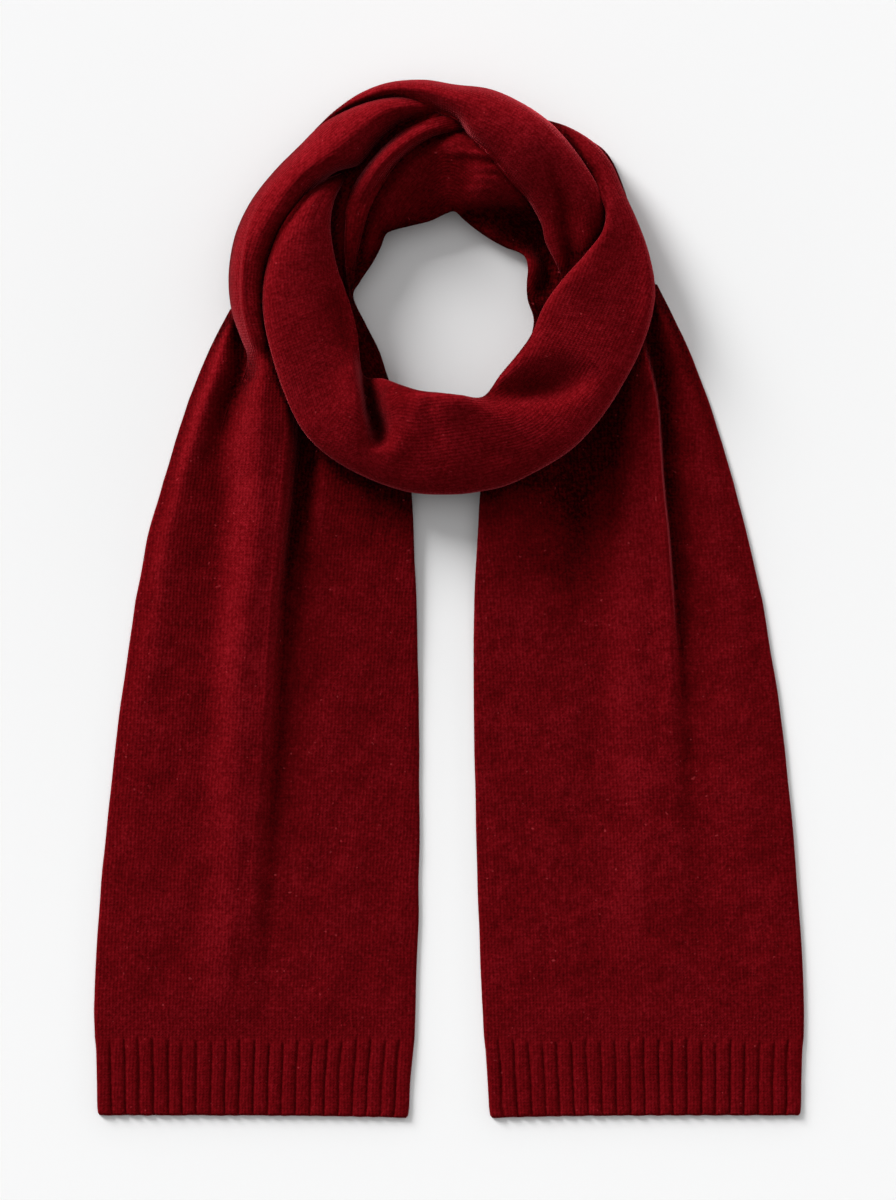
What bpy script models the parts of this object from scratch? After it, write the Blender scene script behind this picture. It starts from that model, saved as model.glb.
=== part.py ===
"""Knit scarf, laid flat on a table and wound one and a half turns round a neck opening.

The scarf is one long knitted band with a ribbed end at each side. Its two tails are 3 mm walls that
lie on the table. Round the opening the cloth is heaped in rolls: each visible stretch is one rounded
solid, which rests on the stretches below it.

Frame: metres, +Z up. X runs to the scarf's right as seen from above and Y towards the wound end. The
origin is on the table, under the middle of the whole scarf. The tables below are in millimetres.
"""
from collections import namedtuple

import bmesh
import bpy
import numpy as np
from mathutils import Vector
from mathutils.bvhtree import BVHTree

# ---- driving dimensions, in millimetres ---------------------------------------------------------
CLOTH = 3.0             # thickness of the knitted cloth
GAP = 0.3               # clearance between pieces that touch
HEM_Y = -439.0          # lower edge of both ribbed ends
RIB_HEIGHT = 67.0       # height of the ribbed ends
RIB_TOP = HEM_Y + RIB_HEIGHT
RIBS_PER_END = 22       # ribs across one end
RIB_GROOVE = 2.0        # thickness of the ribbing in a groove
RIB_RISE = 2.0          # how far a rib stands above the groove beside it
RIB_FACE = 0.25         # a rib's flat face starts this share of a rib after the groove
RIB_START = 4.0         # length over which a rib rises out of the plain cloth
RIB_HEM = 3.0           # length over which it sinks again at the edge

WINE = (0.105, 0.005, 0.009, 1.0)
KNIT_ROUGHNESS = 0.95

# ---- tables of the wound stretches --------------------------------------------------------------
# One row for each section across a roll: its outer and inner widest points, their heights, and how
# far the roll rises above the straight line between them.
Section = namedtuple("Section", "outer_x outer_y inner_x inner_y outer_z inner_z rise")

COWL = [Section(*row) for row in [
    (88, 404, 94, 396, 14, 16, 2),
    (114, 391, 111, 381, 20, 22, 8),
    (134, 375, 124, 356, 22, 26, 14),
    (148, 349, 131, 332, 20, 30, 20),
    (162, 317, 129, 312, 18, 40, 20),
    (170, 292, 113, 291, 18, 44, 24),
    (174, 266, 95, 271, 18, 42, 26),
    (172, 241, 78, 249, 18, 30, 32),
    (162, 210, 68, 222, 18, 14, 38),
    (138, 167, 47, 196, 18, 12, 40),
    (102, 125, 28, 170, 18, 12, 40),
    (55, 99, 10, 172, 18, 12, 40),
    (4, 89, -8, 174, 18, 12, 40),
    (-42, 93, -32, 176, 18, 12, 40),
    (-85, 109, -52, 185, 18, 14, 38),
    (-112, 127, -69, 187, 18, 16, 36),
    (-130, 153, -76, 198, 22, 20, 34),
    (-144, 181, -80, 220, 26, 22, 32),
    (-154, 215, -84, 244, 28, 24, 30),
    (-159, 254, -90, 265, 28, 26, 30),
    (-156, 286, -96, 286, 28, 26, 28),
    (-147, 311, -100, 306, 28, 26, 26),
    (-132, 334, -100, 327, 28, 24, 22),
    (-114, 351, -95, 346, 26, 24, 14),
    (-98, 362, -89, 357, 22, 22, 6),
]]

PLEAT_OUTER = [Section(*row) for row in [
    (-186, 84, -168, 86, 2, 2, 0),
    (-196, 120, -146, 124, 3, 3, 0),
    (-192, 154, -136, 156, 6, 8, 3),
    (-178, 188, -141, 183, 15, 22, 12),
    (-176, 215, -153, 213, 20, 27, 16),
    (-184, 235, -157, 235, 18, 27, 20),
    (-188, 262, -160, 259, 18, 27, 24),
    (-187, 286, -156, 286, 18, 27, 26),
    (-180, 313, -148, 308, 18, 27, 26),
    (-168, 339, -134, 330, 18, 27, 27),
    (-149, 363, -117, 350, 18, 27, 28),
    (-128, 384, -99, 363, 18, 27, 28),
    (-109, 402, -77, 376, 20, 27, 28),
    (-85, 413, -62, 393, 22, 27, 26),
    (-60, 420, -42, 403, 22, 26, 20),
    (-34, 421, -21, 409, 22, 26, 10),
    (-8, 414, -4, 411, 22, 24, 2),
]]

PLEAT_INNER = [Section(*row) for row in [
    (-89, 262, -83, 264, 16, 14, 3),
    (-91, 281, -80, 283, 18, 16, 8),
    (-90, 305, -74, 305, 20, 18, 12),
    (-88, 330, -66, 329, 22, 20, 16),
    (-80, 357, -53, 357, 24, 22, 18),
    (-62, 378, -36, 376, 26, 24, 18),
    (-42, 402, -15, 391, 26, 24, 16),
    (-17, 410, 2, 397, 24, 22, 9),
    (2, 412, 15, 399, 22, 20, 3),
]]

CROWN = [Section(*row) for row in [
    (-112, 400, -110, 398, 12, 14, 2),
    (-98, 414, -95, 409, 14, 16, 6),
    (-76, 429, -75, 416, 16, 18, 12),
    (-51, 438, -49, 422, 16, 20, 18),
    (-21, 440, -21, 419, 16, 22, 24),
    (4, 436, 4, 407, 16, 28, 28),
    (34, 432, 20, 388, 16, 30, 30),
    (61, 420, 36, 372, 18, 30, 32),
    (85, 403, 51, 354, 24, 28, 32),
    (106, 379, 66, 339, 24, 26, 32),
    (123, 351, 76, 320, 24, 26, 28),
    (133, 326, 82, 303, 22, 26, 20),
    (131, 300, 89, 286, 20, 24, 12),
    (122, 278, 96, 271, 18, 22, 4),
]]

NECK_WRAP = [Section(*row) for row in [
    (-128, 160, -53, 177, 22, 8, 4),
    (-144, 210, -60, 210, 22, 8, 6),
    (-148, 254, -82, 255, 22, 8, 8),
    (-138, 307, -67, 283, 22, 8, 10),
    (-108, 397, -53, 312, 9, 8, 20),
    (-68, 424, -32, 316, 8, 8, 20),
    (-24, 429, -10, 323, 8, 8, 20),
    (12, 425, 4, 328, 8, 8, 20),
    (58, 408, 24, 312, 8, 8, 20),
    (112, 386, 47, 298, 7, 8, 19),
    (136, 344, 63, 289, 7, 8, 17),
    (142, 300, 65, 266, 8, 8, 15),
    (138, 254, 71, 235, 8, 8, 13),
    (122, 215, 65, 215, 8, 8, 10),
]]

# ---- tables of the tails ------------------------------------------------------------------------
# One row for each line across a tail: its place along Y and where its two edges are.
Across = namedtuple("Across", "y outer_x inner_x")

TAIL_LEFT = [Across(*row) for row in [
    (RIB_TOP, -300, -33),
    (-299, -298, -30),
    (-214, -294, -27),
    (-129, -285, -26),
    (-44, -275, -27),
    (33, -261, -29),
    (84, -246, -32),
    (135, -231, -38),
    (177, -214, -49),
    (215, -200, -66),
    (245, -186, -83),
]]

TAIL_RIGHT = [Across(*row) for row in [
    (RIB_TOP, 300, 31),
    (-299, 298, 26),
    (-214, 291, 24),
    (-129, 283, 21),
    (-44, 271, 20),
    (33, 257, 23),
    (84, 246, 26),
    (135, 231, 32),
    (177, 216, 47),
    (215, 200, 68),
    (245, 186, 87),
    (269, 173, 106),
]]

# ---- tables of the folds ------------------------------------------------------------------------
# A fold runs along a line through the rows of its table, each with the fold's height there. It fades
# out over its width to the left and to the right of that line, looking from the first row to the
# last. A height below zero is a trough.
Crease = namedtuple("Crease", "x y height left right")

TAIL_LEFT_FOLDS = [
    # the middle ridge, which comes down out of the outer pleat
    [Crease(*row) for row in [
        (-152, 215, 14, 24, 16), (-162, 170, 20, 24, 18), (-174, 126, 26, 30, 24),
        (-182, 33, 18, 40, 28), (-187, -44, 13, 42, 30), (-187, -170, 8, 40, 30),
        (-186, -256, 5, 40, 30), (-186, -330, 0, 40, 30),
    ]],
    # the outer ridge, beside the left edge
    [Crease(*row) for row in [
        (-192, 230, 6, 10, 8), (-207, 177, 10, 14, 10), (-226, 100, 9, 16, 12),
        (-246, 10, 5, 18, 14), (-254, -60, 0, 18, 14),
    ]],
    # the broad inner panel, which rises to the cowl
    [Crease(*row) for row in [
        (-96, 150, 14, 40, 30), (-88, 84, 16, 40, 32), (-84, -10, 11, 40, 32), (-84, -120, 7, 40, 32),
        (-86, -220, 3, 40, 32), (-86, -300, 0, 40, 32),
    ]],
]

TAIL_RIGHT_FOLDS = [
    # the sharp pleat: the panel inside its line is higher, and drops off outside it
    [Crease(*row) for row in [
        (158, 215, 16, 9, 34), (167, 170, 16, 9, 34), (175, 110, 14, 9, 36), (184, 40, 11, 9, 38),
        (194, -20, 7, 9, 38), (199, -90, 3, 9, 36), (202, -140, 0, 9, 36),
    ]],
    # the strip outside the pleat
    [Crease(*row) for row in [
        (198, 190, 8, 16, 14), (216, 120, 8, 18, 14), (234, 20, 6, 20, 16), (250, -80, 0, 20, 16),
    ]],
    # the middle panel, beside the long shadow
    [Crease(*row) for row in [
        (86, 160, 14, 30, 30), (88, 90, 13, 30, 34), (84, 10, 8, 30, 34), (80, -100, 0, 30, 34),
    ]],
]

COWL_CREASES = [
    # the deep notch where the left side turns into the front
    [Crease(*row) for row in [
        (-74, 200, -14, 22, 8), (-73, 180, -26, 24, 8), (-70, 156, -26, 22, 8), (-66, 138, -12, 18, 9),
        (-58, 126, 0, 16, 9),
    ]],
    # the long trough at the right of the opening
    [Crease(*row) for row in [
        (28, 176, -4, 10, 12), (51, 179, -9, 10, 12), (76, 183, -9, 10, 12), (98, 190, -6, 10, 12),
        (110, 198, 0, 10, 12),
    ]],
]

NECK_CREASES = [
    # the hollow under the crown's inner edge
    [Crease(*row) for row in [
        (8, 330, -2, 14, 14), (34, 336, -9, 14, 14), (60, 326, -12, 14, 14), (80, 300, -8, 12, 10),
        (82, 270, -3, 10, 10),
    ]],
]

CROWN_CREASES = [
    # the two soft valleys that run down into the cowl
    [Crease(*row) for row in [
        (81, 381, -3, 10, 8), (95, 350, -8, 10, 8), (103, 318, -10, 10, 6), (106, 297, -6, 8, 6),
    ]],
]

# ---- how finely each stretch is made ------------------------------------------------------------
Roll = namedtuple("Roll", "name sections creases rings across fullness")

ROLLS = [
    Roll("neck_wrap", NECK_WRAP, NECK_CREASES, 34, 12, 2.2),
    Roll("pleat_inner", PLEAT_INNER, [], 20, 8, 2.2),
    Roll("pleat_outer", PLEAT_OUTER, [], 34, 11, 2.2),
    Roll("crown", CROWN, CROWN_CREASES, 32, 13, 2.2),
    Roll("cowl", COWL, COWL_CREASES, 58, 17, 2.3),
]

TAIL_COLUMNS = 24
TAIL_ROWS = 22
TAIL_EDGE = 3.0         # a tail's ridges start this far in from its edges

SEAM = 1.0              # how far a roll's widest points stand back from the line it shares
MAP_STEP = 1.0          # spacing of the height map that a roll is laid on
MAP_X = (-320.0, 320.0)
MAP_Y = (-460.0, 460.0)
MAP_TOP = 200.0         # rays start this high
CLEARANCE_CELLS = 1     # how many cells of the map the height below a point is taken over
SAMPLES = 17            # samples along each side of a cell when a roll is laid down
LIP = 11.0              # width over which a roll's underside rounds up to its edge
FULL_RISE = 6.0         # a roll that rises less than this thins out, down to the share below
THIN_WALL = 0.4


# ---- curves -------------------------------------------------------------------------------------
def smooth_rows(rows, places):
    """Catmull-Rom curve through the rows (an n x k array), read at places from 0 to n - 1."""
    rows = np.asarray(rows, float)
    padded = np.vstack([2 * rows[0] - rows[1], rows, 2 * rows[-1] - rows[-2]])
    places = np.clip(np.asarray(places, float), 0, len(rows) - 1)
    start = np.minimum(places.astype(int), len(rows) - 2)
    t = (places - start)[:, None]
    p0, p1, p2, p3 = (padded[start + k] for k in range(4))
    return 0.5 * (2 * p1 + (p2 - p0) * t + (2 * p0 - 5 * p1 + 4 * p2 - p3) * t ** 2
                  + (3 * p1 - p0 - 3 * p2 + p3) * t ** 3)


def even_places(points, count):
    """Places on the rows that are evenly spaced along the line through points."""
    steps = np.linalg.norm(np.diff(points, axis=0), axis=1)
    travelled = np.concatenate([[0.0], np.cumsum(steps)])
    return np.interp(np.linspace(0, travelled[-1], count), travelled, np.arange(len(points)))


def fold_height(x, y, folds):
    """Sum of the folds' heights at the points x, y.

    With d the distance from the fold's line, positive on its right, a fold adds
    height * exp(-(d / width)^2), with the width of the side that the point is on.
    """
    total = np.zeros_like(x)
    for fold in folds:
        places = np.linspace(0, len(fold) - 1, 12 * len(fold))
        line = smooth_rows([list(row) for row in fold], places)
        best = np.full(x.shape, np.inf)
        addition = np.zeros_like(x)
        for a, b in zip(line[:-1], line[1:]):
            run = b[:2] - a[:2]
            along = ((x - a[0]) * run[0] + (y - a[1]) * run[1]) / (run @ run)
            along = np.clip(along, 0, 1)
            dx = x - (a[0] + along * run[0])
            dy = y - (a[1] + along * run[1])
            distance = np.hypot(dx, dy)
            on_right = run[1] * dx - run[0] * dy > 0
            height, left, right = (a[k] + along * (b[k] - a[k]) for k in (2, 3, 4))
            width = np.where(on_right, right, left)
            nearer = distance < best
            best = np.where(nearer, distance, best)
            addition = np.where(nearer, height * np.exp(-(distance / width) ** 2), addition)
        total += addition
    return total


# ---- meshes -------------------------------------------------------------------------------------
def material(name):
    """The scarf's plain wine-red wool."""
    wool = bpy.data.materials.new(name)
    wool.use_nodes = True
    shader = wool.node_tree.nodes["Principled BSDF"]
    shader.inputs["Base Color"].default_value = WINE
    shader.inputs["Roughness"].default_value = KNIT_ROUGHNESS
    shader.inputs["Metallic"].default_value = 0.0
    wool.diffuse_color = WINE
    return wool


def add_object(name, points, faces, collection):
    """A mesh object from points in millimetres, with its faces turned out."""
    mesh = bpy.data.meshes.new(name)
    mesh.from_pydata((np.asarray(points) / 1000.0).tolist(), [], faces)
    bm = bmesh.new()
    bm.from_mesh(mesh)
    bmesh.ops.recalc_face_normals(bm, faces=bm.faces)
    bm.to_mesh(mesh)
    bm.free()
    mesh.materials.append(material(name))
    mesh.shade_smooth()
    mesh.set_sharp_from_angle(angle=np.radians(50))
    piece = bpy.data.objects.new(name, mesh)
    collection.objects.link(piece)
    return piece


def closed_faces(rows, columns, top, bottom):
    """Faces of a solid between two grids; top and bottom give the index of each grid point."""
    faces = []
    for i in range(rows - 1):
        for j in range(columns - 1):
            for grid, turned in ((top, False), (bottom, True)):
                a, b, c, d = grid[i, j], grid[i, j + 1], grid[i + 1, j + 1], grid[i + 1, j]
                pair = [(a, b, c), (a, c, d)]
                faces += [face[::-1] if turned else face for face in pair]
    border = [(0, j) for j in range(columns)]
    border += [(i, columns - 1) for i in range(1, rows)]
    border += [(rows - 1, j) for j in range(columns - 2, -1, -1)]
    border += [(i, 0) for i in range(rows - 2, 0, -1)]
    for start, end in zip(border, border[1:] + border[:1]):
        corner = [top[start], top[end], bottom[end], bottom[start]]
        ring = list(dict.fromkeys(int(index) for index in corner))
        if len(ring) == 4:
            faces += [(ring[0], ring[1], ring[2]), (ring[0], ring[2], ring[3])]
        elif len(ring) == 3:
            faces.append(tuple(ring))
    return faces


# ---- laying one stretch on those below it -------------------------------------------------------
class Heap:
    """A height map of the pieces made so far, which the next roll is laid on."""

    def __init__(self):
        self.x = np.arange(MAP_X[0], MAP_X[1] + MAP_STEP, MAP_STEP)
        self.y = np.arange(MAP_Y[0], MAP_Y[1] + MAP_STEP, MAP_STEP)
        self.height = np.zeros((len(self.y), len(self.x)))

    def add(self, piece):
        """Raise the map to the top of a piece."""
        points = np.array([vertex.co for vertex in piece.data.vertices]) * 1000.0
        faces = [tuple(polygon.vertices) for polygon in piece.data.polygons]
        tree = BVHTree.FromPolygons(points.tolist(), faces)
        low, high = points.min(axis=0), points.max(axis=0)
        columns = np.flatnonzero((self.x >= low[0]) & (self.x <= high[0]))
        rows = np.flatnonzero((self.y >= low[1]) & (self.y <= high[1]))
        down = Vector((0, 0, -1))
        for row in rows:
            for column in columns:
                start = Vector((self.x[column], self.y[row], MAP_TOP))
                place = tree.ray_cast(start, down)[0]
                if place is not None:
                    self.height[row, column] = max(self.height[row, column], place.z)

    def spread(self):
        """The map with each cell raised to the highest cell near it."""
        wide = self.height.copy()
        for _ in range(CLEARANCE_CELLS):
            padded = np.pad(wide, 1, mode="edge")
            shifted = [padded[1 + dy:padded.shape[0] - 1 + dy, 1 + dx:padded.shape[1] - 1 + dx]
                       for dy in (-1, 0, 1) for dx in (-1, 0, 1)]
            wide = np.max(shifted, axis=0)
        return wide

    def read(self, wide, x, y):
        """The height of the map at the points x, y."""
        columns = np.clip(np.rint((x - MAP_X[0]) / MAP_STEP).astype(int), 0, len(self.x) - 1)
        rows = np.clip(np.rint((y - MAP_Y[0]) / MAP_STEP).astype(int), 0, len(self.y) - 1)
        return wide[rows, columns]


def lay_down(x, y, z, floor_at):
    """Raise a grid of heights z until both triangles of each cell clear the floor by GAP."""
    z = z.copy()
    share = np.linspace(0, 1, SAMPLES)
    u, v = (grid.ravel() for grid in np.meshgrid(share, share, indexing="ij"))
    lower = u >= v
    # weights of a cell's corners a (0, 0), b (0, 1), c (1, 1), d (1, 0), split along a-c
    weights = np.zeros((4, len(u)))
    weights[0] = 1 - np.maximum(u, v)
    weights[2] = np.minimum(u, v)
    weights[1] = np.where(lower, 0, v - u)
    weights[3] = np.where(lower, u - v, 0)

    def corners(grid):
        return np.stack([grid[:-1, :-1], grid[:-1, 1:], grid[1:, 1:], grid[1:, :-1]])

    sample_x = np.einsum("cs,cij->sij", weights, corners(x))
    sample_y = np.einsum("cs,cij->sij", weights, corners(y))
    floor = floor_at(sample_x, sample_y) + GAP
    floor[floor <= GAP] = 0.0
    for _ in range(12):
        short = floor - np.einsum("cs,cij->sij", weights, corners(z))
        if short.max() <= 1e-6:
            break
        for corner, (rows, columns) in enumerate(((0, 0), (0, 1), (1, 1), (1, 0))):
            needed = np.where(weights[corner][:, None, None] > 0, short, 0).max(axis=0)
            part = z[rows:rows + x.shape[0] - 1, columns:columns + x.shape[1] - 1]
            np.maximum(part, part + np.clip(needed, 0, None) * 0.5, out=part)
    short = (floor - np.einsum("cs,cij->sij", weights, corners(z))).max(axis=0)
    for rows, columns in ((0, 0), (0, 1), (1, 1), (1, 0)):
        part = z[rows:rows + x.shape[0] - 1, columns:columns + x.shape[1] - 1]
        part += np.clip(short, 0, None)
    return z


def add_roll(roll, heap, collection):
    """One wound stretch: a rounded solid whose underside lies on the heap.

    Across a section, with t from 0 to pi and n the fullness, the place between the widest points is
    (1 - cos(t)|cos(t)|^(2/n - 1)) / 2 and the rise above their line is rise * sin(t)^(2/n).
    """
    rows = np.array([list(section) for section in roll.sections], float)
    middle = np.stack([rows[:, 0] + rows[:, 2], rows[:, 1] + rows[:, 3]], axis=1) / 2
    table = smooth_rows(rows, even_places(middle, roll.rings))
    t = np.linspace(0, np.pi, roll.across)
    power = 2 / roll.fullness
    share = (1 - np.sign(np.cos(t)) * np.abs(np.cos(t)) ** power) / 2
    arch = np.clip(np.sin(t), 0, 1) ** power
    arch[[0, -1]] = 0.0
    outer_x, outer_y, inner_x, inner_y, outer_z, inner_z, rise = (table[:, k:k + 1] for k in range(7))
    length = np.hypot(outer_x - inner_x, outer_y - inner_y)
    stand_back = np.minimum(SEAM, length / 4) / length
    share = stand_back + (1 - 2 * stand_back) * share
    x = outer_x + (inner_x - outer_x) * share
    y = outer_y + (inner_y - outer_y) * share
    edge = outer_z + (inner_z - outer_z) * share
    top = edge + rise * arch + fold_height(x, y, roll.creases) * arch

    wide = heap.spread()
    base = heap.read(wide, x, y)
    inset = (np.minimum(share, 1 - share) - stand_back) * length
    lip = 1 - np.sin(np.clip(inset / LIP, 0, 1) * np.pi / 2)
    bottom = base + np.clip(edge - base, 0, None) * lip
    bottom = lay_down(x, y, bottom, lambda px, py: heap.read(wide, px, py))
    wall = CLOTH * np.clip(rise / FULL_RISE, THIN_WALL, 1) * np.minimum(1, inset / CLOTH)
    top = np.maximum(top, bottom + wall)
    bottom[:, [0, -1]] = top[:, [0, -1]]

    points = np.stack([x, y, top], axis=2).reshape(-1, 3)
    under = np.stack([x, y, bottom], axis=2)[:, 1:-1].reshape(-1, 3)
    top_index = np.arange(len(points)).reshape(x.shape)
    bottom_index = top_index.copy()
    bottom_index[:, 1:-1] = len(points) + np.arange(len(under)).reshape(len(x), -1)
    faces = closed_faces(*x.shape, top_index, bottom_index)
    return add_object(roll.name, np.vstack([points, under]), faces, collection)


def add_tail(name, rows, folds, collection):
    """A tail: a wall of cloth that lies on the table and lifts off it along its folds."""
    lines = np.array([list(row) for row in rows], float)
    table = smooth_rows(lines, even_places(lines[:, :1], TAIL_ROWS))
    share = np.linspace(0, 1, TAIL_COLUMNS)
    x = table[:, 1:2] + (table[:, 2:3] - table[:, 1:2]) * share
    y = np.repeat(table[:, :1], TAIL_COLUMNS, axis=1)
    inset = np.minimum(np.abs(x - table[:, 1:2]), np.abs(x - table[:, 2:3]))
    away = 1 - np.exp(-(inset / (4 * TAIL_EDGE)) ** 2)
    from_hem = np.clip((y - lines[0, 0]) / RIB_HEIGHT, 0, 1)
    under = np.clip(fold_height(x, y, folds), 0, None) * away * from_hem
    under[0] = 0.0
    points = np.stack([x, y, under + CLOTH], axis=2).reshape(-1, 3)
    below = np.stack([x, y, under], axis=2).reshape(-1, 3)
    top_index = np.arange(len(points)).reshape(x.shape)
    faces = closed_faces(*x.shape, top_index, top_index + len(points))
    return add_object(name, np.vstack([points, below]), faces, collection)


def add_rib(name, tail, collection):
    """A ribbed end: a flat wall whose ribs stand up from its outer face, with a plain underside."""
    top_y = RIB_TOP - GAP
    outer, inner = float(tail[0].outer_x), float(tail[0].inner_x)
    share = [0.0]
    rise = [0.0]
    for rib in range(RIBS_PER_END):
        share += [(rib + RIB_FACE) / RIBS_PER_END, (rib + 1 - RIB_FACE) / RIBS_PER_END,
                  (rib + 1) / RIBS_PER_END]
        rise += [RIB_RISE, RIB_RISE, 0.0]
    share, rise = np.array(share), np.array(rise)
    lines = np.array([top_y, top_y - RIB_START, HEM_Y + RIB_HEM, HEM_Y])
    strength = np.array([0.5, 1.0, 1.0, 0.4])
    x = np.repeat((outer + (inner - outer) * share)[None], len(lines), axis=0)
    y = np.repeat(lines[:, None], len(share), axis=1)
    top = RIB_GROOVE + rise * strength[:, None]
    points = np.stack([x, y, top], axis=2).reshape(-1, 3)
    below = np.stack([x, y, np.zeros_like(x)], axis=2).reshape(-1, 3)
    top_index = np.arange(len(points)).reshape(x.shape)
    faces = closed_faces(*x.shape, top_index, top_index + len(points))
    return add_object(name, np.vstack([points, below]), faces, collection)


def build_scarf():
    """All the pieces, from the table up."""
    for old in list(bpy.data.objects):
        bpy.data.objects.remove(old)
    scarf = bpy.data.collections.new("knit scarf")
    bpy.context.scene.collection.children.link(scarf)
    heap = Heap()
    for side, rows, folds in (("left", TAIL_LEFT, TAIL_LEFT_FOLDS),
                              ("right", TAIL_RIGHT, TAIL_RIGHT_FOLDS)):
        heap.add(add_tail("tail_" + side, rows, folds, scarf))
        add_rib("rib_" + side, rows, scarf)
    for roll in ROLLS:
        heap.add(add_roll(roll, heap, scarf))


build_scarf()
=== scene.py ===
"""Knit scarf, laid flat and wound one and a half turns round a neck opening: its looks.

Every stretch of the scarf is a thin shell of brushed knit on its solid's form. Inside the functions
lengths are in millimetres, with +Z up, +X to the right seen from above and +Y towards the wound end.
"""
from collections import namedtuple

import bpy
import numpy as np
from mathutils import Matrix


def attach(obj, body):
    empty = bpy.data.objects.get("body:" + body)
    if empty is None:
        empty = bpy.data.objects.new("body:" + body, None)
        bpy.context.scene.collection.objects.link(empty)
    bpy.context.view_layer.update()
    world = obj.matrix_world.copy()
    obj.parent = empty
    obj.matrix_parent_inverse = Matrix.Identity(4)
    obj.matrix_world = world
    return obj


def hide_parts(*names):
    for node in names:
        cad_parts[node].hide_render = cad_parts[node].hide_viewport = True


bl_info = {
    "name": "Knit Scarf",
    "version": (1, 0, 0),
    "blender": (4, 5, 0),
    "location": "View3D > Sidebar > Scarf",
    "description": "A ribbed knit scarf wound round a neck opening, laid flat",
    "category": "Object",
}

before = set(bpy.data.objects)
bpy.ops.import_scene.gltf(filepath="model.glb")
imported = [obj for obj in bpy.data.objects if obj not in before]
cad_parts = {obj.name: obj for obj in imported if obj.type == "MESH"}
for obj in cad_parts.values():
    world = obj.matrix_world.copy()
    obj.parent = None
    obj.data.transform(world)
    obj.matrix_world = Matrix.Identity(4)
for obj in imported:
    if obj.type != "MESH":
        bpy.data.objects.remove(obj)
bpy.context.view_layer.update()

MM = 0.001
# where each tail's ribbing starts along Y, and its hem
RIB_TOP = -372.0
HEM_Y = -439.0
# how far a wound stretch's edge may curl down, and how far in from an edge a tail's top is rounded off
LIP = 30.0
ROUNDED = 2.5

# ---- the wound stretches
# One row for each section across a stretch: its outer and inner widest points, their heights, how far
# it rises above the line between them, where its crest is from outer 0 to inner 1, how full it is on
# each side of the crest (1 is a straight slope, 2 an ellipse, more is boxy), and its tuck: 0 where it
# lies on the stretches made before it, 1 where it is tucked under them.
Section = namedtuple(
    "Section",
    "outer_x outer_y inner_x inner_y outer_z inner_z rise crest outer_full inner_full tuck",
    defaults=[0])

NECK_WRAP = [Section(*row) for row in [
    (-118, 150, -44, 172, 16, 7, 3, 0.5, 2, 1.6),
    (-134, 178, -52, 186, 16, 7, 4, 0.5, 2, 1.6),
    (-156, 212, -60, 210, 16, 8, 6, 0.5, 2, 1.6),
    (-168, 236, -72, 234, 15, 9, 7, 0.5, 2, 1.5),
    (-172, 254, -82, 256, 14, 12, 8, 0.5, 2, 1.5),
    (-170, 280, -76, 269, 14, 15, 11, 0.6, 1.8, 1.4),
    (-160, 314, -66, 284, 12, 17, 15, 0.7, 1.5, 1.3),
    (-140, 354, -59, 297, 9, 19, 18, 0.72, 1.3, 1.2),
    (-112, 390, -54, 309, 6, 20, 21, 0.7, 1.2, 1.1),
    (-88, 412, -45, 313, 5, 21, 24, 0.64, 1.2, 1.1),
    (-62, 424, -33, 316, 5, 20, 28, 0.54, 1.3, 1.05),
    (-34, 428, -17, 320, 5, 20, 31, 0.42, 1.5, 1),
    (-12, 428, -4, 326, 6, 20, 33, 0.34, 1.8, 1),
    (4, 427, 4, 328, 7, 20, 34, 0.34, 2, 1),
    (20, 424, 11, 322, 7, 20, 33, 0.36, 2, 1.05),
    (44, 416, 22, 313, 7, 19, 32, 0.42, 2, 1.3),
    (74, 406, 34, 305, 7, 16, 28, 0.5, 2, 1.5),
    (104, 396, 47, 298, 5, 15, 21, 0.55, 2, 1.6),
    (132, 380, 58, 294, 4, 16, 13, 0.56, 2, 1.8),
    (148, 348, 64, 289, 3, 17, 8, 0.6, 2, 2),
    (156, 314, 66, 279, 2, 18, 5, 0.6, 2, 2),
    (156, 284, 65, 266, 2, 17, 5, 0.6, 2, 2),
    (148, 258, 66, 253, 3, 15, 6, 0.6, 2, 2),
    (136, 234, 71, 236, 4, 12, 7, 0.5, 2, 1.8),
    (122, 210, 67, 215, 5, 9, 7, 0.5, 2, 1.8),
]]

PLEAT_INNER = [Section(*row) for row in [
    (-87, 256, -82, 259, 11, 12, 1, 0.5, 2, 1.8),
    (-90, 280, -80, 283, 11, 12, 3, 0.55, 2, 1.7),
    (-90, 305, -75, 305, 15, 15, 9, 0.52, 2, 1.6),
    (-88, 330, -68, 330, 20, 18, 17, 0.5, 2, 1.8),
    (-80, 353, -54, 355, 24, 22, 25, 0.5, 2, 1.9),
    (-62, 377, -39, 374, 26, 26, 26, 0.52, 2, 1.9),
    (-42, 395, -18, 389, 26, 28, 21, 0.52, 2, 1.9),
    (-20, 405, 0, 395, 24, 29, 15, 0.42, 2, 1.8),
    (0, 409, 17, 398, 21, 27, 8, 0.5, 2, 1.8),
    (18, 406, 28, 396, 15, 22, 2, 0.5, 2, 1.8),
]]

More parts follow.
